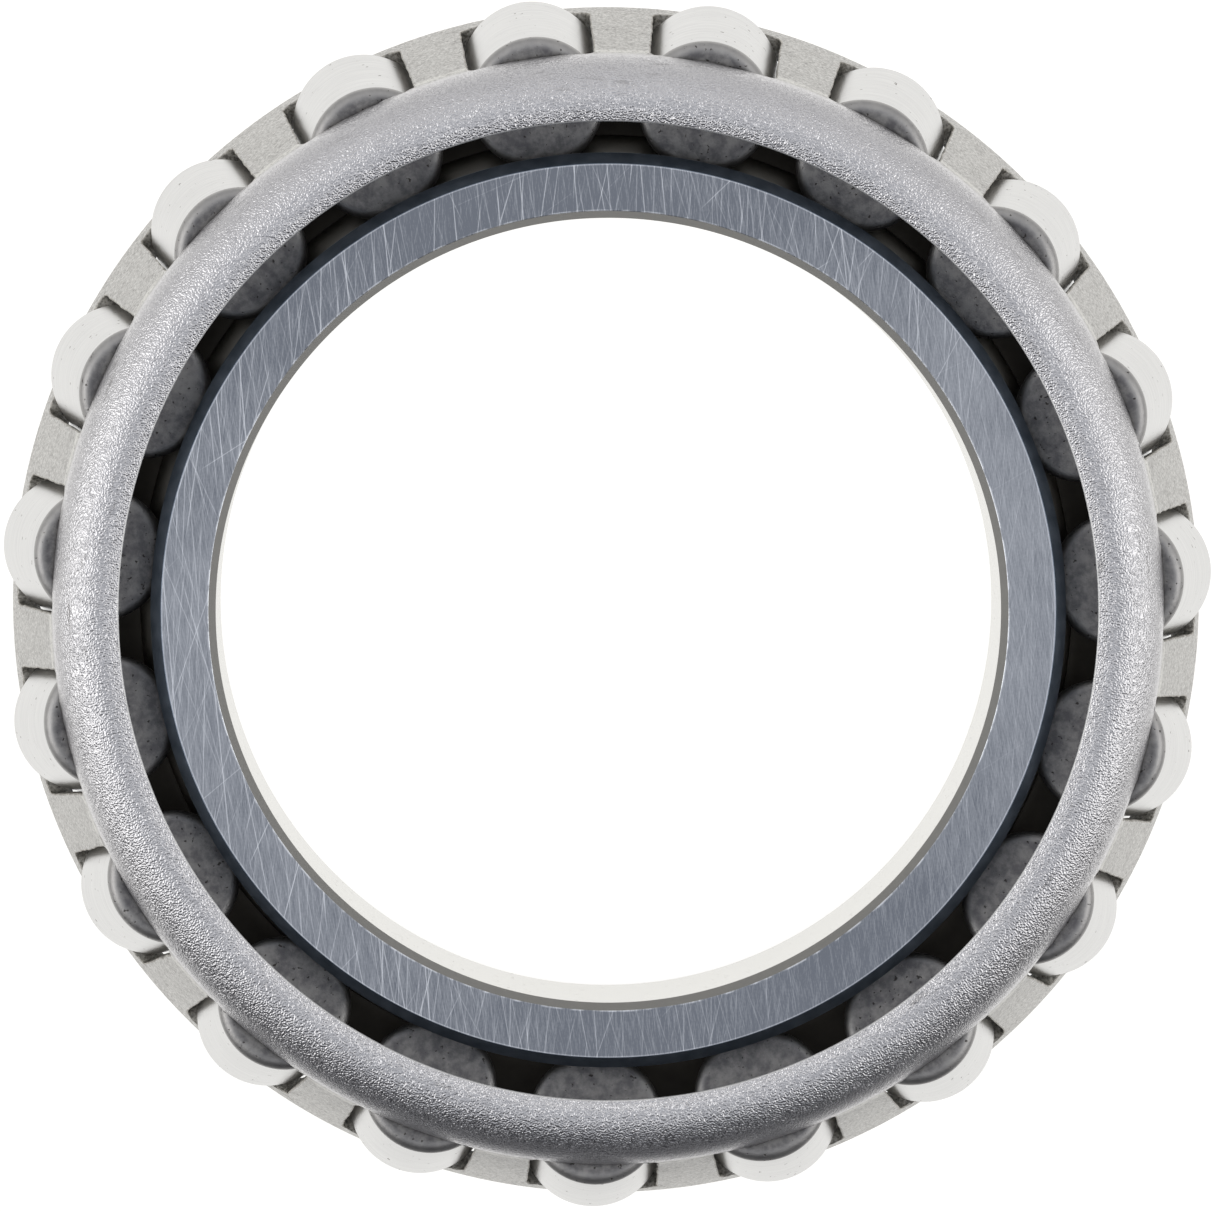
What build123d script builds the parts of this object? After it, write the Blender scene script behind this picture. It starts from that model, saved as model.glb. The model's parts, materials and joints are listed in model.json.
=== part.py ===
# Tapered roller bearing cone assembly: the inner ring ("cone"), nineteen tapered rollers and the pressed
# steel cage that spaces and keeps them. It is the half of the bearing that is pressed on a shaft or hub;
# the outer ring ("cup") is a separate part and is not modelled.
#
# Frame, in millimetres: the origin is the centre of the inner ring's back face, the face at the rollers'
# large ends, on which the part stands. +Z runs along the bore towards the front face, at the small ends.
# Roller 01 lies over +X and the others follow anticlockwise, seen from the front.
#
# Every roller, the raceway and the outer ring that would run on them are cones with one common apex on the
# bearing's axis, above the front face. That is what lets the rollers roll without slipping.

import os
from math import asin, cos, degrees, radians, sin, sqrt, tan

from build123d import *

# ---- inner ring ----
bore_radius = 22.621  # 45.242 mm bore
ring_width = 19.812
back_corner_radius = 3.5  # where the bore meets the back face; clears a shaft's fillet
front_bore_chamfer = (0.42, 0.80)  # radial, axial
front_rib_radius = 26.38
front_rib_chamfer = (0.62, 0.95)  # radial, axial
back_rib_radius = 29.70
back_rib_chamfer = 0.80
rib_edge_break = 0.15
groove_width = 0.75  # grinding relief between the raceway and each rib
groove_depth = 0.28

# ---- rollers ----
roller_count = 19
axis_angle = radians(10.30)  # between a roller's axis and the bearing's axis
taper_angle = radians(1.34)  # half of a roller's included angle
small_face_centre = (29.40, 16.91)  # radius from the axis, height above the back face
roller_length = 11.80
small_end_corner = 0.60
large_end_corner = 0.80
large_end_sphere = 158.0  # radius of the large end's slightly domed face
dimple_radius = 1.70  # shallow flat-bottomed dimple in the middle of the large end
dimple_depth = 0.30
dimple_slope = 0.45  # width of its sloping side

# ---- cage ----
sheet_thickness = 1.30
cage_cone_angle = radians(11.20)
cage_shoulder = (32.04, 17.91)  # radius, height where the cone starts to bend over the front
cage_bend_radius = 2.90  # outside of the bend
cage_lip_radius = 28.14  # radius of the front hole's edge
cage_back_height = 3.81
window_reference = 2.60  # distance outwards from a roller's axis at which the half widths are given
window_half_width_small = 3.67
window_half_width_large = 3.80
window_side_angle = radians(7.0)  # sides open inwards, to follow the rollers' flanks
window_corner = 0.60
window_inside, window_outside = 0.50, 4.50  # the cutter's reach from a roller's axis

# ---- clearances ----
raceway_clearance = 0.05
back_rib_clearance = 0.05
front_rib_clearance = 0.35
window_end_clearance = 0.25

# ---- the common apex ----
small_end_distance = small_face_centre[0] / sin(axis_angle)  # along a roller's axis, from the apex
large_end_distance = small_end_distance + roller_length
apex_height = small_face_centre[1] + small_face_centre[0] / tan(axis_angle)


def roller_radius(distance):
    """Radius of a roller's cone at a distance from the apex along its axis."""
    return distance * tan(taper_angle)


def station(distance, offset):
    """Radius and height of a point given by its distance along a roller's axis and its offset outwards."""
    radius = distance * sin(axis_angle) + offset * cos(axis_angle)
    height = apex_height - distance * cos(axis_angle) + offset * sin(axis_angle)
    return radius, height


def raceway(distance):
    """Radius and height of the inner raceway at a distance along a roller's axis."""
    return station(distance, -roller_radius(distance) - raceway_clearance)


def rib_face(distance, radius):
    """Point at a radius on a rib's face, which is square to the rollers' axes."""
    offset = (radius - distance * sin(axis_angle)) / cos(axis_angle)
    return station(distance, offset)


def rounded_corner(distance, side):
    """Three points of the relief groove between a rib's face and the raceway; side is +1 towards the apex."""
    floor = -roller_radius(distance) - raceway_clearance
    return (
        station(distance, floor + groove_width / 2),
        station(distance - side * groove_width / 3, floor - groove_depth),
        raceway(distance - side * groove_width),
    )


# ---- inner ring: one turned, hardened and ground piece ----
back_rib_face = large_end_distance + back_rib_clearance
front_rib_face = small_end_distance - front_rib_clearance
back_groove = rounded_corner(back_rib_face, 1)
front_groove = rounded_corner(front_rib_face, -1)

with BuildPart() as inner_ring:
    with BuildSketch(Plane.XZ) as ring_section:
        with BuildLine():
            Polyline(
                back_groove[0],
                rib_face(back_rib_face, back_rib_radius),
                (back_rib_radius, back_rib_chamfer),
                (back_rib_radius - back_rib_chamfer, 0),
                (bore_radius + back_corner_radius, 0),
            )
            RadiusArc(
                (bore_radius + back_corner_radius, 0),
                (bore_radius, back_corner_radius),
                back_corner_radius,
            )
            Polyline(
                (bore_radius, back_corner_radius),
                (bore_radius, ring_width - front_bore_chamfer[1]),
                (bore_radius + front_bore_chamfer[0], ring_width),
                (front_rib_radius - front_rib_chamfer[0], ring_width),
                (front_rib_radius, ring_width - front_rib_chamfer[1]),
                rib_face(front_rib_face, front_rib_radius),
                front_groove[0],
            )
            ThreePointArc(*front_groove)
            Line(front_groove[2], back_groove[2])
            ThreePointArc(back_groove[2], back_groove[1], back_groove[0])
        make_face()
        rib_corners = [
            rib_face(back_rib_face, back_rib_radius),
            rib_face(front_rib_face, front_rib_radius),
        ]
        for corner in rib_corners:
            fillet(ring_section.vertices().sort_by_distance((*corner, 0))[0], rib_edge_break)
    revolve(axis=Axis.Z)
inner_ring.part.label = "inner_ring"

# ---- tapered roller 01 ----
# In the roller's plane, x is the offset from its axis and y the distance from its small end.
roller_origin = station(small_end_distance, 0)
roller_plane = Plane(
    origin=(roller_origin[0], 0, roller_origin[1]),
    x_dir=(cos(axis_angle), 0, sin(axis_angle)),
    z_dir=(0, 1, 0),
)


def tilt(radius):
    """Angle at the dome's centre between the roller's axis and a point of the dome at a radius."""
    return degrees(asin(radius / large_end_sphere))


def dome_point(radius):
    """Point of the domed large end at a radius from the roller's axis."""
    return radius, roller_length - large_end_sphere + sqrt(large_end_sphere**2 - radius**2)


large_end_radius = roller_radius(large_end_distance)
dimple_floor = roller_length - dimple_depth

with BuildPart() as roller:
    with BuildSketch(roller_plane) as roller_section:
        with BuildLine():
            Polyline((0, 0), (roller_radius(small_end_distance), 0), dome_point(large_end_radius))
            CenterArc(
                (0, roller_length - large_end_sphere),
                large_end_sphere,
                90 - tilt(large_end_radius),
                tilt(large_end_radius) - tilt(dimple_radius),
            )
            Polyline(
                dome_point(dimple_radius),
                (dimple_radius - dimple_slope, dimple_floor),
                (0, dimple_floor),
                (0, 0),
            )
        make_face()
        fillet(roller_section.vertices().sort_by(Axis.X)[-2], small_end_corner)
        fillet(roller_section.vertices().sort_by(Axis.X)[-1], large_end_corner)
    revolve(axis=Axis(roller_plane.origin, roller_plane.y_dir))

# ---- cage window cutter, over roller 01 ----
# In the window's plane, x is tangential and y runs along the roller's axis towards the apex.
window_plane = Plane(
    origin=roller_plane.origin,
    x_dir=(0, 1, 0),
    z_dir=(cos(axis_angle), 0, sin(axis_angle)),
)


def window_outline(height):
    """Corners of a window's trapezoid at a height outwards from the roller's axis."""
    spread = (window_reference - height) * tan(window_side_angle)
    small_half = window_half_width_small + spread
    large_half = window_half_width_large + spread
    small_end = window_end_clearance
    large_end = -roller_length - window_end_clearance
    return [
        (-large_half, large_end),
        (large_half, large_end),
        (small_half, small_end),
        (-small_half, small_end),
    ]


with BuildPart() as window:
    for height in (window_inside, window_outside):
        with BuildSketch(window_plane.offset(height)) as outline:
            with BuildLine():
                Polyline(*window_outline(height), close=True)
            make_face()
            fillet(outline.vertices(), window_corner)
    loft()

# ---- cage: one piece of pressed and pierced sheet ----
bend_centre = (
    cage_shoulder[0] - cage_bend_radius * cos(cage_cone_angle),
    cage_shoulder[1] - cage_bend_radius * sin(cage_cone_angle),
)
lip_sine = (bend_centre[0] - cage_lip_radius) / cage_bend_radius
lip_cosine = sqrt(1 - lip_sine**2)
inner_bend_radius = cage_bend_radius - sheet_thickness


def bend_points(radius):
    """Shoulder, crest and lip of the bend over the front, at a radius from the bend's centre."""
    return [
        (bend_centre[0] + radius * x, bend_centre[1] + radius * y)
        for x, y in ((cos(cage_cone_angle), sin(cage_cone_angle)), (0, 1), (-lip_sine, lip_cosine))
    ]


def cone_foot(shoulder):
    """Where the cone through a shoulder point meets the cage's back edge."""
    return shoulder[0] + (shoulder[1] - cage_back_height) * tan(cage_cone_angle), cage_back_height


outer_bend = bend_points(cage_bend_radius)
inner_bend = bend_points(inner_bend_radius)

with BuildPart() as cage:
    with BuildSketch(Plane.XZ):
        with BuildLine():
            ThreePointArc(*outer_bend)
            Line(outer_bend[2], inner_bend[2])
            ThreePointArc(*inner_bend)
            Polyline(inner_bend[0], cone_foot(inner_bend[0]), cone_foot(outer_bend[0]), outer_bend[0])
        make_face()
    revolve(axis=Axis.Z)
    with PolarLocations(0, roller_count):
        add(window.part, mode=Mode.SUBTRACT)
cage.part.label = "cage"

# ---- files ----
os.makedirs("parts", exist_ok=True)
export_step(inner_ring.part, "parts/inner_ring.step")
export_step(cage.part, "parts/cage.step")
for index in range(roller_count):
    placed_roller = roller.part.rotate(Axis.Z, index * 360 / roller_count)
    placed_roller.label = f"roller_{index + 1:02d}"
    export_step(placed_roller, f"parts/{placed_roller.label}.step")

large_end_crest = station(large_end_distance - large_end_corner, roller_radius(large_end_distance))
print(f"apex {apex_height:.2f} mm above the back face; rollers reach {large_end_crest[0]:.2f} mm radius")
print(f"raceway runs from {raceway(small_end_distance)} to {raceway(large_end_distance)}")
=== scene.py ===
# Tapered roller bearing cone assembly, made in the order that a bearing works puts it together: the inner
# ring, the rollers round its raceway, then the pressed cage that is closed over them.
import json
import math

import bmesh
import bpy
from mathutils import Matrix, Vector


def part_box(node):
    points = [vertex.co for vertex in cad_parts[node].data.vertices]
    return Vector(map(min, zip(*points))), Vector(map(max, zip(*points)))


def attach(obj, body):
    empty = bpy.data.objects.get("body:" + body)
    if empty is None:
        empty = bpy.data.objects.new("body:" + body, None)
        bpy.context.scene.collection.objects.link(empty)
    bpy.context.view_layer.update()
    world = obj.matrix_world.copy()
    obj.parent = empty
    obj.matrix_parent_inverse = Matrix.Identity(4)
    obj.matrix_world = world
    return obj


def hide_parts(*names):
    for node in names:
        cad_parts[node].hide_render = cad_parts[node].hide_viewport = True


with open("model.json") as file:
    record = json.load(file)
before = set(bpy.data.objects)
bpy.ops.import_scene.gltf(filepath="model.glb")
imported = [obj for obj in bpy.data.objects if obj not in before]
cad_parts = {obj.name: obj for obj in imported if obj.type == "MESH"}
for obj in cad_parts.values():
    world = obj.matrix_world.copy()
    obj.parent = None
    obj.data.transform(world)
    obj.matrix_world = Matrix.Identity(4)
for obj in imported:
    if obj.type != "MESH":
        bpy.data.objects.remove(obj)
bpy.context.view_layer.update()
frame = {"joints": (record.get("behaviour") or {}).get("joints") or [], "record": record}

# ---------------------------------------------------------------- inner ring
# One ring turned from bearing steel, hardened right through, then ground on its faces, bore, raceway and
# ribs. The rollers run on its tapered raceway, between a small front rib and a large back rib.

MM = 0.001
bore = next(mount for mount in frame["record"]["mounts"] if mount["name"] == "bore")
bore_radius = bore["dims"]["r_mm"] * MM
ring_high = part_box("inner_ring")[1]
ring_width = ring_high.z
back_rib_radius = ring_high.x
back_rib_chamfer = 0.80 * MM
back_corner_radius = 3.50 * MM
back_corner_steps = 12
front_rib_radius = 26.38 * MM
front_rib_chamfer = (0.62 * MM, 0.95 * MM)  # radial, axial
front_bore_chamfer = (0.42 * MM, 0.80 * MM)  # radial, axial
ring_edge_break = 0.05 * MM
rib_edge_break = 0.15 * MM
groove_width = 0.75 * MM
groove_depth = 0.28 * MM
race_clearance = 0.05 * MM
back_rib_clearance = 0.05 * MM
front_rib_clearance = 0.35 * MM
ring_facets = 384

# The rollers' axes meet at one apex on the bearing's axis, above the front face.
roller_length = 11.80 * MM
taper_angle = math.radians(1.34)
roller_spins = {j["child"]: j for j in frame["joints"] if j["child"].startswith("roller_")}
first_spin = roller_spins["roller_01"]
roller_middle = Vector(first_spin["pos_m"])
lean = math.atan2(-first_spin["axis"][0], first_spin["axis"][2])
apex_height = roller_middle.z + roller_middle.x / math.tan(lean)
middle_distance = roller_middle.x / math.sin(lean)
small_end_distance = middle_distance - roller_length / 2
large_end_distance = middle_distance + roller_length / 2


def station(distance, offset):
    """Radius and height of a point so far from the apex along a roller's axis, and offset outwards."""
    radius = distance * math.sin(lean) + offset * math.cos(lean)
    return radius, apex_height - distance * math.cos(lean) + offset * math.sin(lean)


def rib_face(distance, radius):
    """Point at a radius on a rib's face, which is square to the rollers' axes."""
    return station(distance, (radius - distance * math.sin(lean)) / math.cos(lean))


def rounded(corners, closed=True, steps=4):
    """Outline from corners given as x, y, edge radius and the finish of the surface that follows.

    Each rounded corner becomes an arc with a point just outside each end, which keeps the flats flat when
    they are shaded smooth.
    """
    outline = []
    for index, (x, y, radius, finish) in enumerate(corners):
        here = Vector((x, y))
        if not radius:
            outline.append((x, y, finish))
            continue
        before = (Vector(corners[index - 1][:2]) - here).normalized()
        after = (Vector(corners[(index + 1) % len(corners)][:2]) - here).normalized()
        half_turn = (math.pi - before.angle(after)) / 2
        reach = radius * math.tan(half_turn)
        centre = here + (before + after).normalized() * radius / math.cos(half_turn)
        start = here + before * reach
        turn = (here + after * reach - centre).angle_signed(start - centre)
        hold = min(radius / 2, 0.06 * MM)
        outline.append((*(start + before * hold), corners[index - 1][3]))
        for step in range(steps + 1):
            angle = turn * step / steps
            arm = start - centre
            outline.append((
                centre.x + arm.x * math.cos(angle) - arm.y * math.sin(angle),
                centre.y + arm.x * math.sin(angle) + arm.y * math.cos(angle),
                finish,
            ))
        outline.append((*(here + after * (reach + hold)), finish))
    if closed:
        outline.append(outline[0])
    return outline


class Wire:
    """A value on its way through a node tree. Sums written with it add Math nodes to the tree."""

    def __init__(self, socket):
        self.socket = socket
        self.nodes = Nodes(socket.id_data)

    def __add__(self, other):
        return self.nodes.maths("ADD", self, other)

    def __sub__(self, other):
        return self.nodes.maths("SUBTRACT", self, other)

    def __rsub__(self, other):
        return self.nodes.maths("SUBTRACT", other, self)

    def __mul__(self, other):
        return self.nodes.maths("MULTIPLY", self, other)

    def __truediv__(self, other):
        return self.nodes.maths("DIVIDE", self, other)

    def __gt__(self, other):
        return self.nodes.maths("GREATER_THAN", self, other)

    def __abs__(self):
        return self.nodes.maths("ABSOLUTE", self)

    __radd__ = __add__
    __rmul__ = __mul__

    def xyz(self):
        """The three numbers of a vector."""
        parts = self.nodes.add("ShaderNodeSeparateXYZ", None, {"Vector": self}).socket.node
        return [Wire(socket) for socket in parts.outputs]

    def ramp(self, low, high):
        """0 at low, 1 at high, eased between and held beyond."""
        return self.nodes.add(
            "ShaderNodeMapRange",
            {"interpolation_type": "SMOOTHSTEP"},
            {"Value": self, "From Min": low, "From Max": high},
        )


class Nodes:
    """Adds nodes to a shader or geometry tree."""

    def __init__(self, tree):
        self.tree = tree

    def add(self, kind, settings=None, sockets=None, output=0):
        """A new node of a kind, with its settings made first, then its sockets' values or links."""
        node = self.tree.nodes.new(kind)
        for name, value in (settings or {}).items():
            setattr(node, name, value)
        for name, value in (sockets or {}).items():
            if isinstance(name, str):
                socket = next(s for s in node.inputs if s.enabled and s.name == name)
            else:
                socket = node.inputs[name]
            if isinstance(value, Wire):
                self.tree.links.new(value.socket, socket)
            else:
                socket.default_value = value
        outputs = [s for s in node.outputs if s.enabled]
        if not outputs:
            return node
        return Wire(node.outputs[output] if isinstance(output, str) else outputs[output])

    def maths(self, operation, *terms):
        """The outcome of one Math node."""
        return self.add("ShaderNodeMath", {"operation": operation}, dict(enumerate(terms)))


def inputs_of(nodes, **kinds):
    """Gives a geometry tree its inputs and its one geometry output; returns a Wire for each input."""
    nodes.tree.interface.new_socket("Geometry", in_out="OUTPUT", socket_type="NodeSocketGeometry")
    for name, kind in kinds.items():
        nodes.tree.interface.new_socket(name, in_out="INPUT", socket_type=kind)
    group_input = nodes.tree.nodes.new("NodeGroupInput")
    return [Wire(group_input.outputs[name]) for name in kinds]


def finished(nodes, shape, finishes):
    """Ends a tree: smooth shading but for sharp edges, a material for each finish, then the output."""
    sharp_from = math.radians(35)
    sharp = nodes.add("GeometryNodeInputMeshEdgeAngle") > sharp_from
    shape = nodes.add("GeometryNodeSetShadeSmooth", {"domain": "FACE"}, {"Geometry": shape})
    shape = nodes.add(
        "GeometryNodeSetShadeSmooth",
        {"domain": "EDGE"},
        {"Geometry": shape, "Selection": sharp, "Shade Smooth": False},
    )
    shape = nodes.add("GeometryNodeRealizeInstances", None, {"Geometry": shape})
    finish = nodes.add("GeometryNodeInputNamedAttribute", {"data_type": "INT"}, {"Name": "finish"})
    for index, material in enumerate(finishes):
        chosen = nodes.add(
            "FunctionNodeCompare", {"data_type": "INT", "operation": "EQUAL"}, {"A": finish, "B": index}
        )
        shape = nodes.add(
            "GeometryNodeSetMaterial", None, {"Geometry": shape, "Selection": chosen, "Material": material}
        )
    nodes.add("NodeGroupOutput", None, {"Geometry": shape})


def turning_tree(finishes):
    """Tree that turns an outline drawn in the XZ plane round the Z axis."""
    nodes = Nodes(bpy.data.node_groups.new("turning", "GeometryNodeTree"))
    outline, facets = inputs_of(nodes, Outline="NodeSocketGeometry", Facets="NodeSocketInt")
    count = nodes.add(
        "GeometryNodeAttributeDomainSize", {"component": "MESH"}, {"Geometry": outline}, "Point Count"
    )
    columns = facets + 1
    sheet = nodes.add("GeometryNodeMeshGrid", None, {"Vertices X": count, "Vertices Y": columns})
    index = nodes.add("GeometryNodeInputIndex")
    row = nodes.maths("FLOOR", (index + 0.5) / columns)
    angle = (index - row * columns) / facets * math.tau
    place = nodes.add(
        "GeometryNodeSampleIndex",
        {"data_type": "FLOAT_VECTOR", "domain": "POINT"},
        {"Geometry": outline, "Value": nodes.add("GeometryNodeInputPosition"), "Index": row},
    )
    radius, _, height = place.xyz()
    turned = nodes.add(
        "ShaderNodeCombineXYZ",
        None,
        {"X": radius * nodes.maths("COSINE", angle), "Y": radius * nodes.maths("SINE", angle), "Z": height},
    )
    shape = nodes.add("GeometryNodeSetPosition", None, {"Geometry": sheet, "Position": turned})
    finish = nodes.add(
        "GeometryNodeSampleIndex",
        {"data_type": "INT", "domain": "POINT"},
        {
            "Geometry": outline,
            "Value": nodes.add("GeometryNodeInputNamedAttribute", {"data_type": "INT"}, {"Name": "finish"}),
            "Index": nodes.maths("FLOOR", (index + 0.5) / facets),
        },
    )
    shape = nodes.add(
        "GeometryNodeStoreNamedAttribute",
        {"data_type": "INT", "domain": "FACE"},
        {"Geometry": shape, "Name": "finish", "Value": finish},
    )
    shape = nodes.add("GeometryNodeMergeByDistance", None, {"Geometry": shape, "Distance": 0.001 * MM})
    finished(nodes, shape, finishes)
    return nodes.tree


def outline_mesh(outline):
    """The points of an outline, as the mesh that a turning tree starts from."""
    mesh = bpy.data.meshes.new("outline")
    mesh.from_pydata([(x, 0, z) for x, z, _ in outline], [], [])
    mesh.attributes.new("finish", "INT", "POINT").data.foreach_set("value", [f for _, _, f in outline])
    return mesh


def made(name, tree, start, **values):
    """The closed piece that a geometry tree makes from a starting mesh."""
    blank = bpy.data.objects.new("blank", start)
    bpy.context.scene.collection.objects.link(blank)
    modifier = blank.modifiers.new("shape", "NODES")
    modifier.node_group = tree
    for item in tree.interface.items_tree:
        if item.in_out == "INPUT" and item.name in values:
            modifier[item.identifier] = values[item.name]
    graph = bpy.context.evaluated_depsgraph_get()
    mesh = bpy.data.meshes.new_from_object(
        blank.evaluated_get(graph), preserve_all_data_layers=True, depsgraph=graph
    )
    bpy.data.objects.remove(blank)
    solid = bmesh.new()
    solid.from_mesh(mesh)
    bmesh.ops.recalc_face_normals(solid, faces=solid.faces)
    solid.to_mesh(mesh)
    solid.free()
    mesh.name = name
    piece = bpy.data.objects.new(name, mesh)
    bpy.context.scene.collection.objects.link(piece)
    return piece


def blank_material(name):
    """A new material with an empty tree."""
    material = bpy.data.materials.new(name)
    material.use_nodes = True
    material.node_tree.nodes.clear()
    return material, Nodes(material.node_tree)


def steel(nodes, colour, roughness, height=None, relief=0.0):
    """Ends a material as bare steel; height is its fine surface, as deep as relief."""
    sockets = {"Metallic": 1.0, "Base Color": colour, "Roughness": roughness}
    if height:
        bump = nodes.add("ShaderNodeBump", None, {"Height": height, "Distance": relief})
        sockets["Normal"] = bump
    shader = nodes.add("ShaderNodeBsdfPrincipled", None, sockets)
    nodes.add("ShaderNodeOutputMaterial", None, {"Surface": shader})


def place_in_mm(nodes):
    """Position on the object, in millimetres."""
    place = nodes.add("ShaderNodeTexCoord", None, None, "Object")
    return nodes.add("ShaderNodeVectorMath", {"operation": "SCALE"}, {"Vector": place, "Scale": 1 / MM})


def noise(nodes, place, scale, detail=2.0, roughness=0.5):
    """Smooth random number, 0 to 1, with so many bumps to the millimetre."""
    return nodes.add(
        "ShaderNodeTexNoise",
        None,
        {"Vector": place, "Scale": scale, "Detail": detail, "Roughness": roughness},
    )


def from_axis(nodes, x, y):
    """Distance from the Z axis."""
    return nodes.maths("SQRT", x * x + y * y)


def blend(nodes, share, plain, other):
    """Colour from plain, where share is 0, to other, where it is 1; each a Wire or red, green and blue."""
    first, last = (colour if isinstance(colour, Wire) else (*colour, 1) for colour in (plain, other))
    return nodes.add("ShaderNodeMix", {"data_type": "RGBA"}, {"Factor": share, "A": first, "B": last})


def scratches(nodes, place, heading, pitch, length, width, shift):
    """Mask of long fine straight lines that run near one heading in the XY plane.

    The plane is cut into strips, and each strip into stretches. A stretch holds at most one line, with its
    own place, tilt and depth.
    """
    lined = nodes.add(
        "ShaderNodeMapping",
        None,
        {"Vector": place, "Location": (shift, shift * 1.7, 0), "Rotation": (0, 0, heading)},
    )
    across, along, _ = lined.xyz()
    strip = nodes.maths("FLOOR", across / pitch)
    own_start = nodes.add("ShaderNodeTexWhiteNoise", {"noise_dimensions": "1D"}, {"W": strip + shift})
    run = along / length + own_start
    stretch = nodes.maths("FLOOR", run)
    cell = nodes.add("ShaderNodeCombineXYZ", None, {"X": strip, "Y": stretch, "Z": shift})
    chance, tilt, depth = nodes.add("ShaderNodeTexWhiteNoise", None, {"Vector": cell}, "Color").xyz()
    from_middle = run - stretch - 0.5
    line = chance * 0.6 + 0.2 + (tilt - 0.5) * from_middle * 0.8
    gap = abs(across / pitch - strip - line) * pitch
    ends = 1 - abs(from_middle).ramp(0.30, 0.48)
    return (1 - gap.ramp(width * 0.4, width)) * ends * (depth * depth * depth * 0.9 + 0.1) * (chance > 0.2)


def ground_face_steel():
    """Flat ground faces: blue-grey, crossed by the last grinding pass and by handling scratches, with a
    painted highlight on two opposite sides.
    """
    material, nodes = blank_material("ground_face")
    place = place_in_mm(nodes)
    x, y, _ = place.xyz()
    radius = from_axis(nodes, x, y)
    clean_side = (x * 0.92 - y * 0.38).ramp(4.0, 22.0)
    # Families of scratches: heading in radians, then pitch, length and width in millimetres, then depth.
    marks = 0.0
    for order, (heading, pitch, length, width, depth) in enumerate((
        (-0.36, 1.4, 8.0, 0.040, 0.45),
        (-0.24, 0.9, 9.0, 0.042, 0.5),
        (-0.13, 0.55, 12.0, 0.036, 0.7),
        (-0.03, 0.5, 16.0, 0.040, 0.95),
        (0.08, 0.5, 14.0, 0.038, 0.85),
        (0.18, 0.6, 10.0, 0.038, 0.85),
        (0.30, 1.1, 9.0, 0.040, 0.8),
        (0.48, 2.2, 8.0, 0.040, 0.7),
        (1.00, 4.0, 7.0, 0.040, 0.6),
    )):
        marks = marks + scratches(nodes, place, heading, pitch, length, width, 3.7 * order + 1) * depth
    marks = nodes.maths("MINIMUM", marks, 1.0) * (1 - clean_side * 0.75)
    # Hairlines too fine to tell apart: heading in radians and length in millimetres.
    hair_width = 0.07
    hair = 0.0
    for order, (heading, length) in enumerate(((0.03, 2.8), (-0.20, 1.4), (0.22, 1.4))):
        lined = nodes.add(
            "ShaderNodeMapping",
            {"vector_type": "TEXTURE"},
            {
                "Vector": place,
                "Location": (order, 0, 0),
                "Rotation": (0, 0, heading),
                "Scale": (hair_width, length, 1),
            },
        )
        hair = hair + noise(nodes, lined, 1.0, 1.0) - 0.5
    bore_edge = 1 - (radius - (bore_radius + front_bore_chamfer[0]) / MM).ramp(0.03, 0.11)
    rib_edge = (radius - (front_rib_radius - front_rib_chamfer[0]) / MM).ramp(-0.12, -0.05)
    nicks = bore_edge * noise(nodes, place, 1.4, 3.0).ramp(0.42, 0.62) * 0.8 + rib_edge * 0.55
    cloud = noise(nodes, place, 0.16, 2.0) - 0.5
    grain = noise(nodes, place, 6.0, 3.0, 0.6) - 0.5
    # Painted highlight: the lines would catch most light where they run along the ring's edge, on two
    # opposite sides, so the colour is made lighter there and darker between.
    painted_glint_heading = math.radians(10.0)
    sweep = x * math.cos(painted_glint_heading) + y * math.sin(painted_glint_heading)
    painted_glint = sweep * sweep / (radius * radius) * 0.30 - 0.15
    # Lightness of the face: real marks, hairlines, grain and nicks, with the painted glint added.
    marks_and_painted_glint = marks * 0.85 + hair * 0.42 + cloud * 0.30 + grain * 0.30 + nicks + 0.14
    marks_and_painted_glint = marks_and_painted_glint + clean_side * 0.04 + painted_glint
    marks_and_painted_glint = nodes.maths("MINIMUM", nodes.maths("MAXIMUM", marks_and_painted_glint, 0.0), 1.0)
    colour = blend(nodes, marks_and_painted_glint, (0.262, 0.280, 0.318), (0.84, 0.86, 0.90))
    steel(nodes, colour, marks * 0.10 + 0.33, marks * 0.5 + hair * 0.4, 0.003 * MM)
    return material


def chamfer_steel():
    """Turned chamfers and corners, darkened by hardening, with the tool's fine rings."""
    material, nodes = blank_material("turned_chamfer")
    place = place_in_mm(nodes)
    x, y, z = place.xyz()
    rings = nodes.maths("SINE", z * 70.0)
    cloud = noise(nodes, place, 1.2)
    # Grey by the bore, and tempered to a blue on the ribs, which start between these distances in mm.
    rib_start = (24.4, 25.0)
    by_bore = blend(nodes, cloud, (0.19, 0.188, 0.184), (0.265, 0.26, 0.25))
    on_rib = blend(nodes, cloud, (0.14, 0.18, 0.24), (0.27, 0.31, 0.37))
    colour = blend(nodes, from_axis(nodes, x, y).ramp(*rib_start), by_bore, on_rib)
    steel(nodes, colour, cloud * 0.15 + 0.36, rings * 0.2 + noise(nodes, place, 9.0), 0.004 * MM)
    return material


def bore_steel():
    """Ground bore: bright, with rings of fine grinding marks and a few dark specks."""
    material, nodes = blank_material("ground_bore")
    place = place_in_mm(nodes)
    ringed = nodes.add("ShaderNodeMapping", None, {"Vector": place, "Scale": (0.15, 0.15, 9.0)})
    lines = noise(nodes, ringed, 1.5, 3.0)
    specks = noise(nodes, place, 3.5, 2.0).ramp(0.69, 0.74)
    colour = blend(nodes, specks, (0.66, 0.65, 0.62), (0.22, 0.20, 0.18))
    steel(nodes, colour, specks * 0.3 + 0.26, lines - specks * 0.5, 0.002 * MM)
    return material


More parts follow.
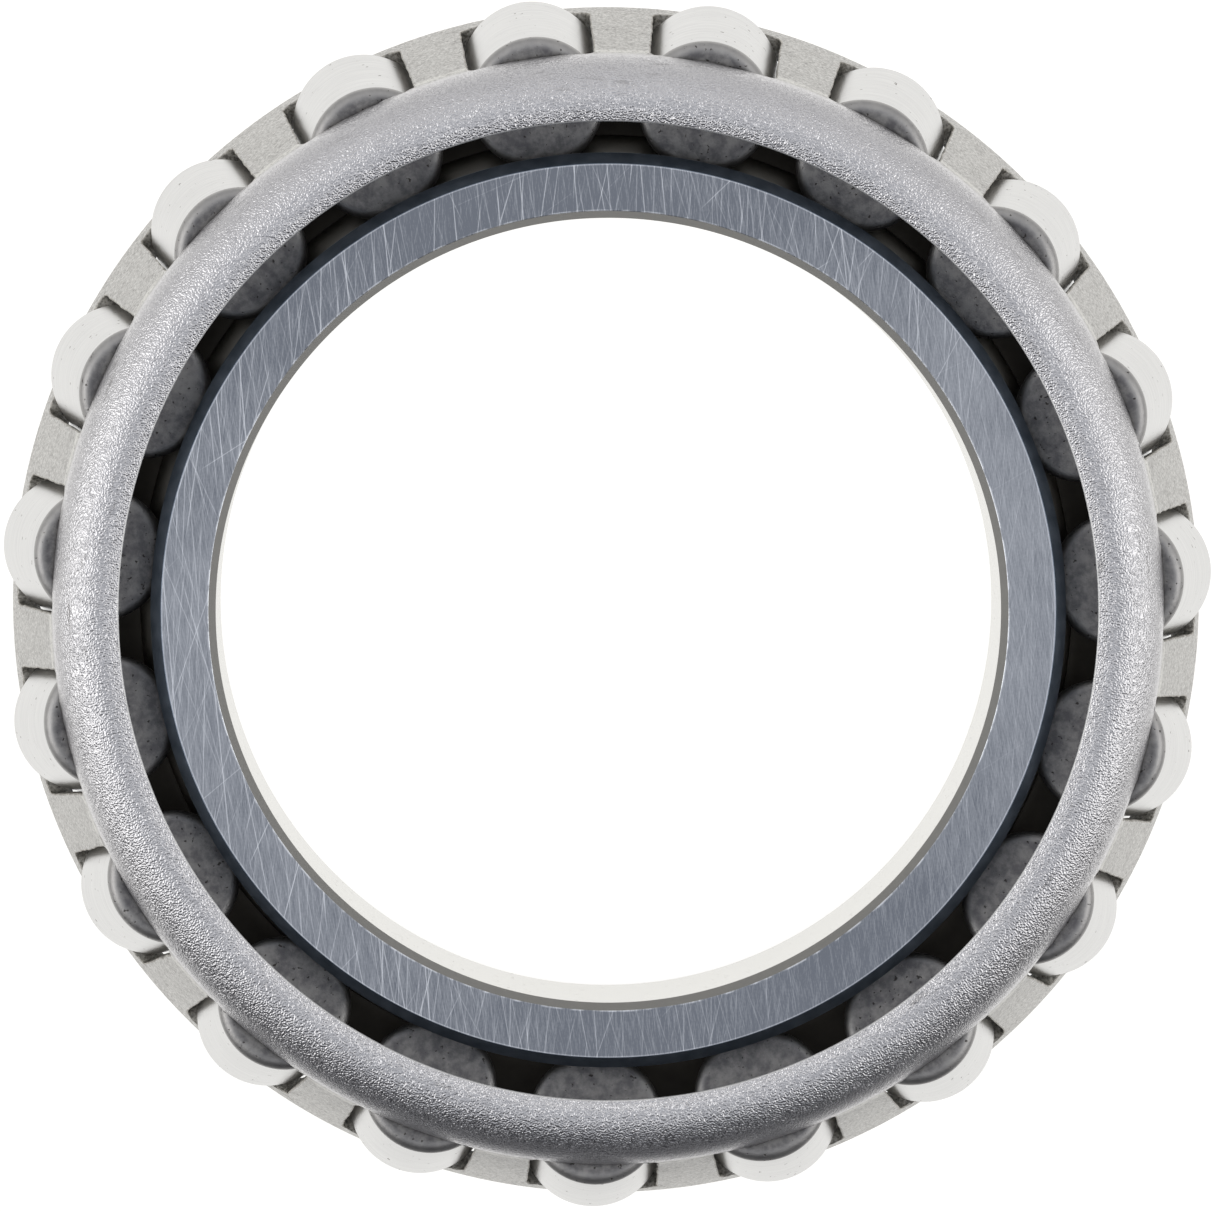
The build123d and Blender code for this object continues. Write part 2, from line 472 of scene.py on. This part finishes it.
def raceway_painted_shade_steel():
    """Ground raceway and ribs behind the rollers, coloured near-black as painted shade for the shadow
    between the rollers.
    """
    material, nodes = blank_material("ground_raceway_painted_shade")
    place = place_in_mm(nodes)
    cloud = noise(nodes, place, 0.8)
    ringed = nodes.add("ShaderNodeMapping", None, {"Vector": place, "Scale": (0.15, 0.15, 9.0)})
    # Painted shade: the near-black colour stands for the shadow in the gaps between the rollers.
    colour = blend(nodes, cloud, (0.045, 0.042, 0.036), (0.10, 0.09, 0.075))
    steel(nodes, colour, cloud * 0.1 + 0.26, noise(nodes, ringed, 1.5, 1.0), 0.0006 * MM)
    return material


FACE, CHAMFER, BORE, RACEWAY = range(4)
back_rib_face = large_end_distance + back_rib_clearance
front_rib_face = small_end_distance - front_rib_clearance


def race(distance):
    """Point of the raceway at a distance from the apex along a roller's axis."""
    return station(distance, -distance * math.tan(taper_angle) - race_clearance)


def relief(rib_distance, side):
    """The small groove where a rib meets the raceway, from the rib's face; side is 1 towards the apex."""
    floor = -rib_distance * math.tan(taper_angle) - race_clearance
    return [
        (*station(rib_distance, floor + groove_width / 2), 0, RACEWAY),
        (*station(rib_distance - side * groove_width * 0.10, floor - groove_depth * 0.55), 0, RACEWAY),
        (*station(rib_distance - side * groove_width * 0.33, floor - groove_depth), 0, RACEWAY),
        (*station(rib_distance - side * groove_width * 0.66, floor - groove_depth * 0.70), 0, RACEWAY),
        (*race(rib_distance - side * groove_width), 0, RACEWAY),
    ]


ring_outline = rounded([
    *relief(back_rib_face, 1)[::-1],
    (*rib_face(back_rib_face, back_rib_radius), rib_edge_break, CHAMFER),
    (back_rib_radius, back_rib_chamfer, rib_edge_break, CHAMFER),
    (back_rib_radius - back_rib_chamfer, 0, ring_edge_break, FACE),
    (bore_radius + back_corner_radius, 0, 0, CHAMFER),
    *(
        (
            bore_radius + back_corner_radius * (1 - math.sin(step * math.pi / (2 * back_corner_steps))),
            back_corner_radius * (1 - math.cos(step * math.pi / (2 * back_corner_steps))),
            0,
            CHAMFER,
        )
        for step in range(1, back_corner_steps)
    ),
    (bore_radius, back_corner_radius, 0, BORE),
    (bore_radius, ring_width - front_bore_chamfer[1], ring_edge_break, CHAMFER),
    (bore_radius + front_bore_chamfer[0], ring_width, ring_edge_break, FACE),
    (front_rib_radius - front_rib_chamfer[0], ring_width, ring_edge_break, CHAMFER),
    (front_rib_radius, ring_width - front_rib_chamfer[1], ring_edge_break, CHAMFER),
    (*rib_face(front_rib_face, front_rib_radius), rib_edge_break, RACEWAY),
    *relief(front_rib_face, -1),
])
ring_tree = turning_tree([ground_face_steel(), chamfer_steel(), bore_steel(), raceway_painted_shade_steel()])
inner_ring = made("inner_ring_ground", ring_tree, outline_mesh(ring_outline), Facets=ring_facets)
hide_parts("inner_ring")
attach(inner_ring, "inner_ring")

# ---------------------------------------------------------------- rollers
# Nineteen tapered rollers, cold-headed from wire, tumbled, hardened, then ground on their sides and large
# ends. The small ends keep their tumbled skin. Each turns on its own axis as the cage carries it round.

small_end_radius = small_end_distance * math.tan(taper_angle)
large_end_radius = large_end_distance * math.tan(taper_angle)
small_end_corner = 0.60 * MM
large_end_corner = 0.80 * MM
large_end_sphere = 158.0 * MM
dimple_radius = 1.70 * MM
dimple_depth = 0.30 * MM
dimple_slope = 0.45 * MM
dimple_edge_break = 0.12 * MM
roller_facets = 96
roller_seat = station(small_end_distance, 0)


def roller_place(nodes):
    """Position on a roller in its own axes, in millimetres, shifted so that no two rollers look alike."""
    place = nodes.add("ShaderNodeAttribute", {"attribute_name": "roller_place"}, None, "Vector")
    return nodes.add("ShaderNodeVectorMath", {"operation": "SCALE"}, {"Vector": place, "Scale": 1 / MM})


def ground_side_steel():
    """Centreless-ground sides: bright, with faint rings, a few short scuffs and dark specks."""
    material, nodes = blank_material("roller_side")
    place = roller_place(nodes)
    ringed = nodes.add("ShaderNodeMapping", None, {"Vector": place, "Scale": (0.25, 0.25, 8.0)})
    lines = noise(nodes, ringed, 1.6, 3.0)
    specks = noise(nodes, place, 2.6, 1.0).ramp(0.745, 0.78)
    patches = noise(nodes, place, 0.35, 1.0).ramp(0.52, 0.62)
    scuffs = noise(nodes, ringed, 4.0, 1.0).ramp(0.70, 0.76) * patches
    flaws = nodes.maths("MINIMUM", specks + scuffs * 0.6, 1.0)
    tone = blend(nodes, lines.ramp(0.3, 0.7), (0.57, 0.565, 0.56), (0.68, 0.675, 0.665))
    colour = blend(nodes, flaws, tone, (0.20, 0.18, 0.16))
    steel(nodes, colour, flaws * 0.3 + 0.30, lines - flaws * 0.6, 0.002 * MM)
    return material


def tumbled_end_steel():
    """Small ends and corners: grey and mottled from heading, tumbling and hardening, with small pits and a
    painted highlight on the rounded rim.
    """
    material, nodes = blank_material("roller_end")
    place = roller_place(nodes)
    x, y, _ = place.xyz()
    cloud = noise(nodes, place, 1.3, 4.0, 0.65)
    pits = noise(nodes, place, 3.6, 2.0).ramp(0.67, 0.72)
    grain = noise(nodes, place, 7.0, 3.0, 0.6)
    rim_start, rim_end = (small_end_radius - small_end_corner) / MM - 0.1, small_end_radius / MM - 0.2
    # Painted highlight: the rounded rim of the small end is coloured lighter.
    painted_rim_highlight = from_axis(nodes, x, y).ramp(rim_start, rim_end)
    tone = blend(nodes, cloud.ramp(0.32, 0.68), (0.165, 0.16, 0.165), (0.33, 0.32, 0.31))
    tone = blend(nodes, painted_rim_highlight * 0.65, tone, (0.48, 0.47, 0.46))
    colour = blend(nodes, pits * 0.8, tone, (0.04, 0.035, 0.03))
    steel(nodes, colour, cloud * 0.12 + 0.42, grain * 0.6 + cloud * 1.6 - pits, 0.016 * MM)
    return material


def seating_tree():
    """Tree that leans a turned roller to the apex and seats it on the raceway, at its own place."""
    nodes = Nodes(bpy.data.node_groups.new("seating", "GeometryNodeTree"))
    roller, order, place_angle, lean_angle, seat = inputs_of(
        nodes,
        Roller="NodeSocketGeometry",
        Order="NodeSocketInt",
        Place="NodeSocketFloat",
        Lean="NodeSocketFloat",
        Seat="NodeSocketVector",
    )
    # Each roller has stopped at its own turn, the golden angle on from the last.
    golden_angle = 2.39996
    own_turn = nodes.add("ShaderNodeCombineXYZ", None, {"Z": order * golden_angle})
    shape = nodes.add("GeometryNodeTransform", None, {"Geometry": roller, "Rotation": own_turn})
    pattern_shift = 31.0 * MM
    shift = nodes.add("ShaderNodeCombineXYZ", None, {"Z": order * pattern_shift})
    place = nodes.add(
        "ShaderNodeVectorMath", {"operation": "ADD"}, {0: nodes.add("GeometryNodeInputPosition"), 1: shift}
    )
    shape = nodes.add(
        "GeometryNodeStoreNamedAttribute",
        {"data_type": "FLOAT_VECTOR", "domain": "POINT"},
        {"Geometry": shape, "Name": "roller_place", "Value": place},
    )
    leaning = nodes.add("ShaderNodeCombineXYZ", None, {"Y": lean_angle * -1})
    shape = nodes.add(
        "GeometryNodeTransform", None, {"Geometry": shape, "Translation": seat, "Rotation": leaning}
    )
    round_ring = nodes.add("ShaderNodeCombineXYZ", None, {"Z": place_angle})
    shape = nodes.add("GeometryNodeTransform", None, {"Geometry": shape, "Rotation": round_ring})
    nodes.add("NodeGroupOutput", None, {"Geometry": shape})
    return nodes.tree


SIDE, END = range(2)


def dome(radius):
    """Height of the large end's slightly domed face at a radius from the roller's axis."""
    return -roller_length + large_end_sphere - math.sqrt(large_end_sphere**2 - radius**2)


def side_point(down):
    """Radius and height on a roller's side, at a distance down from the small end."""
    return small_end_radius + down * math.tan(taper_angle), -down


mid_dome = large_end_radius * 0.62
roller_outline = rounded(
    [
        (0, 0, 0, END),
        (small_end_radius, 0, small_end_corner, END),
        (*side_point(small_end_corner + 0.08 * MM), 0, SIDE),
        (*side_point(roller_length / 2), 0, SIDE),
        (large_end_radius, dome(large_end_radius), large_end_corner, SIDE),
        (mid_dome, dome(mid_dome), 0, SIDE),
        (dimple_radius, dome(dimple_radius), dimple_edge_break, END),
        (dimple_radius - dimple_slope, -roller_length + dimple_depth, dimple_edge_break, END),
        (0, -roller_length + dimple_depth, 0, END),
    ],
    closed=False,
    steps=7,
)
roller_tree = turning_tree([ground_side_steel(), tumbled_end_steel()])
plain_roller = made("plain_roller", roller_tree, outline_mesh(roller_outline), Facets=roller_facets)
seating = seating_tree()
for order, (body, spin) in enumerate(sorted(roller_spins.items())):
    around = math.atan2(spin["pos_m"][1], spin["pos_m"][0])
    roller = made(
        body + "_ground",
        seating,
        plain_roller.data.copy(),
        Order=order,
        Place=around,
        Lean=lean,
        Seat=(roller_seat[0], 0.0, roller_seat[1]),
    )
    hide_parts(body)
    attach(roller, body)
bpy.data.objects.remove(plain_roller)

# ---------------------------------------------------------------- cage
# One piece of low-carbon steel sheet, drawn to a cone with its front edge rolled in, pierced with a window
# for each roller, then tumbled to a satin grain. The windows' sheared sides keep the rollers apart.

cage_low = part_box("cage")[0]
sheet_thickness = 1.30 * MM
cage_cone_angle = math.radians(11.20)
cage_shoulder = Vector((32.04 * MM, 17.91 * MM))
cage_bend_radius = 2.90 * MM
cage_lip_radius = 28.14 * MM
lip_edge_break = 0.13 * MM
back_edge_break = 0.18 * MM
window_end_clearance = 0.25 * MM
window_half_small = 3.67 * MM
window_half_large = 3.80 * MM
window_side_angle = math.radians(7.0)
window_corner = 0.60 * MM
window_edge_break = 0.09 * MM
window_backing = 0.45 * MM  # skin behind a window that is meshed along with it
window_tear = 0.24 * MM  # how far the punch's tearing moves an edge
tear_grain = 1400.0  # tears to the metre
window_count = len(roller_spins)
across, along = 16, 26  # mesh steps across a window and along it
corner_steps = 3
bend_steps = 26

cone_down = Vector((math.sin(cage_cone_angle), -math.cos(cage_cone_angle)))
cone_out = Vector((math.cos(cage_cone_angle), math.sin(cage_cone_angle)))
bend_centre = cage_shoulder - cone_out * cage_bend_radius
cone_length = (cage_shoulder.y - cage_low.z) / math.cos(cage_cone_angle)


def cone_reach(distance):
    """How far below the shoulder the cone comes to a distance from the apex along a roller's axis."""
    shoulder_distance = cage_shoulder.x * math.sin(lean) + (apex_height - cage_shoulder.y) * math.cos(lean)
    return (distance - shoulder_distance) / math.cos(cage_cone_angle - lean)


window_start = cone_reach(small_end_distance - window_end_clearance)
window_end = cone_reach(large_end_distance + window_end_clearance)
block_start, block_end = 0.0, window_end + window_backing


def cone_point(down, depth):
    """Radius and height at a distance down the cone from the shoulder and a depth under the outer skin."""
    return cage_shoulder + cone_down * down - cone_out * depth


def bend_point(share, depth):
    """The same round the bend; share goes from 0 at the shoulder to 1 at the lip."""
    radius = cage_bend_radius - depth
    lip_angle = math.pi - math.acos((bend_centre.x - cage_lip_radius) / cage_bend_radius)
    angle = cage_cone_angle + (lip_angle - cage_cone_angle) * share
    return bend_centre + Vector((math.cos(angle), math.sin(angle))) * radius


SKIN, SHEARED, RUBBED = range(3)


def bend_row(depth):
    """Points round the bend from the shoulder to just short of the lip, at a depth under the outer skin."""
    return [(*bend_point(step / bend_steps, depth), 0, SKIN) for step in range(bend_steps)]


# Front strip: outer skin from the windows' front ends over the bend to the lip, then back along the inside.
front_strip = rounded(
    [
        *bend_row(0),
        (*bend_point(1, 0), lip_edge_break, RUBBED),
        (*bend_point(1, sheet_thickness), lip_edge_break, SKIN),
        *bend_row(sheet_thickness)[::-1],
    ],
    closed=False,
)
# Back strip: the inside from the windows' back ends to the back edge, then up the outer skin again.
back_edge = cone_length - sheet_thickness * math.tan(cage_cone_angle)
back_strip = rounded(
    [
        (*cone_point(block_end, sheet_thickness), 0, SKIN),
        (*cone_point(back_edge, sheet_thickness), back_edge_break, SHEARED),
        (*cone_point(cone_length, 0), back_edge_break, SKIN),
        (*cone_point(block_end, 0), 0, SKIN),
    ],
    closed=False,
)


def window_half_width(down, depth):
    """Half the window's width at a distance down the cone and a depth under the outer skin."""
    share = (down - window_start) / (window_end - window_start)
    half = window_half_small + (window_half_large - window_half_small) * share
    return half + depth * math.tan(window_side_angle)


def window_loop(depth, grown):
    """Points round a window, from its front left corner, as angle and distance down the cone."""
    corner = window_corner + grown
    half = window_half_small + grown
    start, end = window_start - grown, window_end + grown
    centres = (
        (-half + corner, start + corner, 1.25 * math.pi, across, 2 * (half - corner), (1, 0)),
        (half - corner, start + corner, 1.75 * math.pi, along, end - start - 2 * corner, (0, 1)),
        (half - corner, end - corner, 0.25 * math.pi, across, 2 * (half - corner), (-1, 0)),
        (-half + corner, end - corner, 0.75 * math.pi, along, end - start - 2 * corner, (0, -1)),
    )
    points = []
    for index, (x, down, angle, steps, straight, heading) in enumerate(centres):
        following = centres[(index + 1) % 4]
        quarter = math.pi / 4 / corner_steps
        for step in range(corner_steps):
            turn = angle + quarter * step
            points.append((x + corner * math.cos(turn), down + corner * math.sin(turn)))
        middle_steps = steps - 2 * corner_steps
        side = angle + math.pi / 4
        for step in range(middle_steps + 1):
            gone = straight * step / middle_steps
            points.append((
                x + corner * math.cos(side) + heading[0] * gone,
                down + corner * math.sin(side) + heading[1] * gone,
            ))
        for step in range(1, corner_steps):
            turn = side + quarter * step
            points.append((following[0] + corner * math.cos(turn), following[1] + corner * math.sin(turn)))
    loop = []
    for x, down in points:
        widened = x * (window_half_width(down, depth) + grown) / half
        loop.append((math.asin(widened / cone_point(down, depth).x), down))
    return loop


def border_loop():
    """Points round the block of skin that holds a window, matched one to one with a window's loop."""
    edge = math.pi / window_count
    front = [(-edge + 2 * edge * step / across, block_start) for step in range(across)]
    right = [(edge, block_start + (block_end - block_start) * step / along) for step in range(along)]
    back = [(edge - 2 * edge * step / across, block_end) for step in range(across)]
    left = [(-edge, block_end - (block_end - block_start) * step / along) for step in range(along)]
    return front + right + back + left


def cage_sector():
    """Mesh of the cage's share round one window, with a finish on each face and a mark on sheared edges."""
    points, faces, finishes, sheared = [], [], [], []
    edge = math.pi / window_count

    def add_point(radius, height, angle, shear=0.0):
        points.append((radius * math.cos(angle), radius * math.sin(angle), height))
        sheared.append(shear)
        return len(points) - 1

    for strip in (front_strip, back_strip):
        rows = [
            [add_point(radius, height, -edge + 2 * edge * step / across) for step in range(across + 1)]
            for radius, height, _ in strip
        ]
        for index, (row, after) in enumerate(zip(rows, rows[1:])):
            for step in range(across):
                faces.append((row[step], row[step + 1], after[step + 1], after[step]))
                finishes.append(strip[index][2])

    border = border_loop()
    rolled = window_edge_break
    hem = rolled * 1.7  # the narrow strip of flat skin round the rolled edge
    # Depth, growth of the window, share of the way in from the border, finish of the surface that follows.
    profile = [
        (0, hem, 0.0, SKIN),
        (0, hem, 0.5, SKIN),
        (0, hem, 1.0, SKIN),
        *(
            (rolled * (1 - math.cos(turn)), rolled * (1 - math.sin(turn)), 1.0, SHEARED)
            for turn in (0, math.pi / 8, math.pi / 4, math.pi * 3 / 8, math.pi / 2)
        ),
        (sheet_thickness * 0.35, 0, 1.0, SHEARED),
        (sheet_thickness * 0.65, 0, 1.0, SHEARED),
        *(
            (sheet_thickness - rolled * (1 - math.cos(turn)), rolled * (1 - math.sin(turn)), 1.0, SHEARED)
            for turn in (math.pi / 2, math.pi / 4)
        ),
        (sheet_thickness, rolled, 1.0, SKIN),
        (sheet_thickness, hem, 1.0, SKIN),
        (sheet_thickness, hem, 0.0, SKIN),
    ]
    loops = []
    for depth, grown, share, _ in profile:
        loop = []
        window = window_loop(depth, grown)
        for (window_angle, window_down), (border_angle, border_down) in zip(window, border):
            down = border_down + (window_down - border_down) * share
            radius, height = cone_point(down, depth)
            angle = border_angle + (window_angle - border_angle) * share
            loop.append(add_point(radius, height, angle, 1.0 if share == 1 else 0.0))
        loops.append(loop)
    for index, (loop, after) in enumerate(zip(loops, loops[1:])):
        for here in range(len(loop)):
            there = (here + 1) % len(loop)
            faces.append((loop[here], loop[there], after[there], after[here]))
            finishes.append(profile[index][3])

    mesh = bpy.data.meshes.new("cage_sector")
    mesh.from_pydata(points, [], faces)
    mesh.attributes.new("finish", "INT", "FACE").data.foreach_set("value", finishes)
    mesh.attributes.new("sheared", "FLOAT", "POINT").data.foreach_set("value", sheared)
    return mesh


def indexing_tree(finishes):
    """Tree that repeats one window's share of the cage round the axis, as the piercing die is indexed."""
    nodes = Nodes(bpy.data.node_groups.new("indexing", "GeometryNodeTree"))
    sector, count, tear, tear_scale = inputs_of(
        nodes,
        Sector="NodeSocketGeometry",
        Windows="NodeSocketInt",
        Tear="NodeSocketFloat",
        Grain="NodeSocketFloat",
    )
    stations = nodes.add("GeometryNodePoints", None, {"Count": count})
    turn = nodes.add("GeometryNodeInputIndex") * math.tau / count
    rotation = nodes.add("FunctionNodeAxisAngleToRotation", None, {"Axis": (0, 0, 1), "Angle": turn})
    shape = nodes.add(
        "GeometryNodeInstanceOnPoints", None, {"Points": stations, "Instance": sector, "Rotation": rotation}
    )
    shape = nodes.add("GeometryNodeRealizeInstances", None, {"Geometry": shape})
    shape = nodes.add("GeometryNodeMergeByDistance", None, {"Geometry": shape, "Distance": 0.002 * MM})
    # The punch tears the sheet a little unevenly, so each window's edge wanders in its own way.
    wander = nodes.add("ShaderNodeTexNoise", None, {"Scale": tear_scale, "Detail": 2.0}, "Color")
    centred = nodes.add("ShaderNodeVectorMath", {"operation": "SUBTRACT"}, {0: wander, 1: (0.5, 0.5, 0.5)})
    mark = nodes.add("GeometryNodeInputNamedAttribute", {"data_type": "FLOAT"}, {"Name": "sheared"})
    offset = nodes.add(
        "ShaderNodeVectorMath", {"operation": "SCALE"}, {"Vector": centred, "Scale": mark * tear}
    )
    shape = nodes.add("GeometryNodeSetPosition", None, {"Geometry": shape, "Offset": offset})
    finished(nodes, shape, finishes)
    return nodes.tree


def tumbled_skin_steel():
    """Outer and inner skin: satin with a fine leathery grain from tumbling, and a few rubbed scuffs."""
    material, nodes = blank_material("cage_skin")
    place = place_in_mm(nodes)
    x, y, z = place.xyz()
    radius = from_axis(nodes, x, y)

    def laid_flat(along, across):
        """The front ring's skin unrolled, so long along the ring and so drawn out across its section."""
        return nodes.add(
            "ShaderNodeCombineXYZ",
            None,
            {"X": x / radius * along, "Y": y / radius * along, "Z": (radius - z) * across},
        )

    rolled = z.ramp(17.2, 18.2)  # 0 on the cone, 1 on the front ring
    outer = radius.ramp(28.5, 29.8)  # 0 by the lip, 1 from there out
    coarse = noise(nodes, laid_flat(30.0, 0.85), 10.0, 0.0)
    fine = noise(nodes, place, 11.0, 0.0)
    # A light crease is left where the bend was coined, just above the windows.
    crease = (1 - abs(z - 17.0).ramp(0.15, 0.55)) * noise(nodes, place, 1.1, 2.0).ramp(0.25, 0.50)
    specks = noise(nodes, place, 4.5, 2.0).ramp(0.60, 0.68) * (1 - rolled)
    stains = noise(nodes, place, 0.9, 4.0, 0.65).ramp(0.52, 0.72) * (1 - rolled)
    patches = noise(nodes, place, 0.13, 0.0).ramp(0.50, 0.62)
    scuffs = noise(nodes, laid_flat(9.0, 1.5), 1.3, 4.0, 0.65).ramp(0.58, 0.70) * patches * rolled
    cloud = noise(nodes, place, 0.5, 3.0)
    mottle = noise(nodes, place, 5.5, 4.0, 0.75)
    bar = blend(nodes, mottle.ramp(0.35, 0.65), (0.34, 0.33, 0.315), (0.64, 0.63, 0.61))
    worn = (fine * (1 - outer) + coarse * outer).ramp(0.32, 0.68)
    tone = blend(nodes, worn * 0.7 + cloud * 0.3, (0.57, 0.56, 0.57), (0.70, 0.69, 0.70))
    tone = blend(nodes, rolled, bar, tone)
    tone = blend(nodes, crease * 0.5, tone, (0.80, 0.79, 0.75))
    colour = blend(nodes, specks * 0.6 + stains * 0.25 + scuffs * 0.4, tone, (0.16, 0.15, 0.14))
    height = (fine * (1 - outer) * 0.65 + coarse * (outer * 0.40 + 0.15)) * (rolled * 0.90 + 0.10)
    steel(nodes, colour, (1 - rolled) * 0.17 + cloud * 0.04 + 0.26, height, 0.104 * MM)
    return material


def sheared_steel():
    """Windows' sides: a burnished band where the punch entered, then torn metal."""
    material, nodes = blank_material("cage_sheared")
    place = place_in_mm(nodes)
    torn = noise(nodes, place, 5.0, 4.0, 0.65)
    colour = blend(nodes, torn.ramp(0.35, 0.65), (0.20, 0.19, 0.17), (0.52, 0.50, 0.46))
    steel(nodes, colour, torn * 0.2 + 0.40, torn, 0.05 * MM)
    return material


def rubbed_steel():
    """Edges rubbed bright by handling."""
    material, nodes = blank_material("cage_edge")
    grain = noise(nodes, place_in_mm(nodes), 6.0, 2.0)
    colour = blend(nodes, grain, (0.70, 0.69, 0.68), (0.85, 0.84, 0.83))
    steel(nodes, colour, 0.62, grain, 0.010 * MM)
    return material


cage_tree = indexing_tree([tumbled_skin_steel(), sheared_steel(), rubbed_steel()])
cage = made(
    "cage_pressed", cage_tree, cage_sector(), Windows=window_count, Tear=window_tear, Grain=tear_grain
)
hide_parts("cage")
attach(cage, "cage")

# ---------------------------------------------------------------- studio
# A pale table with a light pad in it, a pale room, and softboxes at the far side and both flanks. A long
# lens looks down on the front face.

view_turn = math.radians(3.28)  # the part is turned this far on the table
view_right = Vector((math.cos(view_turn), -math.sin(view_turn), 0))
view_up = Vector((math.sin(view_turn), math.cos(view_turn), 0))
table_radius = 1.5
pad_fade = (52.0, 95.0)  # mm from the axis, where the light pad fades out
# Painted shade: on the near side the pad fades out and the table is coloured darker.
near_shade_fade = (40.8, 52.0)  # the same on the near side
# Painted shadow: the pad gives no light in the ring that the part covers.
shadow_start, shadow_end = (22.6, 24.0), (32.4, 33.6)  # mm from the axis, the ring that the part covers


def table_material():
    """Pale table with a soft-edged light pad set in it, which the part stands on and covers in a ring;
    painted shade darkens the near side, and a painted shadow turns the pad off in the covered ring.
    """
    material, nodes = blank_material("table")
    x, y, _ = place_in_mm(nodes).xyz()
    distance = from_axis(nodes, x, y)
    nearer = x * -view_up.x + y * -view_up.y
    # Painted shade: towards the near side the table is coloured darker and the pad gives no light.
    painted_near_shade = (distance * 0.35 + nearer * 0.65).ramp(*near_shade_fade)
    # Painted shadow: the pad is turned off in the ring under the part.
    painted_contact_shadow = distance.ramp(*shadow_start) * (1 - distance.ramp(*shadow_end))
    lit = (1 - painted_near_shade) * (1 - painted_contact_shadow) * (1 - distance.ramp(*pad_fade))
    # The table's colour off the pad: pale, and darker on the near side as painted shade.
    unlit = blend(nodes, painted_near_shade, (0.62, 0.62, 0.625), (0.26, 0.26, 0.265))
    shader = nodes.add(
        "ShaderNodeBsdfPrincipled",
        None,
        {
            "Base Color": blend(nodes, lit, unlit, (0.10, 0.10, 0.10)),
            "Roughness": 0.8,
            "Emission Color": blend(nodes, lit, (0.0, 0.0, 0.0), (1.0, 0.995, 0.975)),
            "Emission Strength": 1.02,
        },
    )
    nodes.add("ShaderNodeOutputMaterial", None, {"Surface": shader})
    return material


bpy.ops.mesh.primitive_circle_add(vertices=64, radius=table_radius, fill_type="NGON", location=(0, 0, 0))
table = bpy.context.object
table.name = "table"
table.data.materials.append(table_material())

world = bpy.data.worlds.new("room")
bpy.context.scene.world = world
world.use_nodes = True
world.node_tree.nodes.clear()
sky = Nodes(world.node_tree)
x, y, z = sky.add("ShaderNodeTexCoord", None, None, "Generated").xyz()
towards_top = x * view_up.x + y * view_up.y
towards_side = abs(x * view_right.x + y * view_right.y)
low_down = 1 - z.ramp(0.55, 1.02)
bright_side = (towards_top + towards_side * 0.25).ramp(-0.55, 0.12)
flanks = towards_side.ramp(0.55, 0.95)
walls = blend(sky, bright_side, (0.03, 0.03, 0.035), (0.72, 0.72, 0.73))
walls = blend(sky, flanks * bright_side, walls, (0.80, 0.80, 0.79))
room_light = blend(sky, low_down, (0.55, 0.57, 0.61), walls)
background = sky.add("ShaderNodeBackground", None, {"Color": room_light, "Strength": 1.0})
sky.add("ShaderNodeOutputWorld", None, {"Surface": background})


def softbox(name, direction, elevation, watts, size):
    """A large square lamp aimed at the part, from a direction, 0 to the right, and an elevation."""
    distance = 0.9
    flat = view_right * math.cos(direction) + view_up * math.sin(direction)
    towards = flat * math.cos(elevation) + Vector((0, 0, math.sin(elevation)))
    data = bpy.data.lights.new(name, "AREA")
    data.energy = watts
    data.size = size
    lamp = bpy.data.objects.new(name, data)
    lamp.location = towards * distance
    lamp.rotation_euler = towards.to_track_quat("Z", "Y").to_euler()
    bpy.context.scene.collection.objects.link(lamp)


softbox("softbox_top", math.radians(95), math.radians(50), 0.3, 0.8)
softbox("softbox_left", math.radians(186), math.radians(34), 2.4, 0.75)
softbox("softbox_right", math.radians(-6), math.radians(34), 1.9, 0.75)

camera_height = 0.810
camera_shift = (-7.3 * MM, 32.1 * MM)  # to the right and up, as the camera sees them
aim_shift = (-0.09 * MM, 0.30 * MM)
camera_data = bpy.data.cameras.new("camera")
camera = bpy.data.objects.new("camera", camera_data)
bpy.context.scene.collection.objects.link(camera)
bpy.context.scene.camera = camera
face_centre = Vector((0, 0, ring_width))
camera.location = face_centre + view_right * camera_shift[0] + view_up * camera_shift[1]
camera.location.z += camera_height
aim = face_centre + view_right * aim_shift[0] + view_up * aim_shift[1]
camera_data.lens = 417.7
camera_data.sensor_width = 36.0
camera_data.clip_start, camera_data.clip_end = 0.01, 10.0
back = (camera.location - aim).normalized()
right = view_up.cross(back).normalized()
up = back.cross(right)
camera.rotation_euler = Matrix((right, up, back)).transposed().to_euler()
bpy.context.scene.view_settings.view_transform = "Standard"
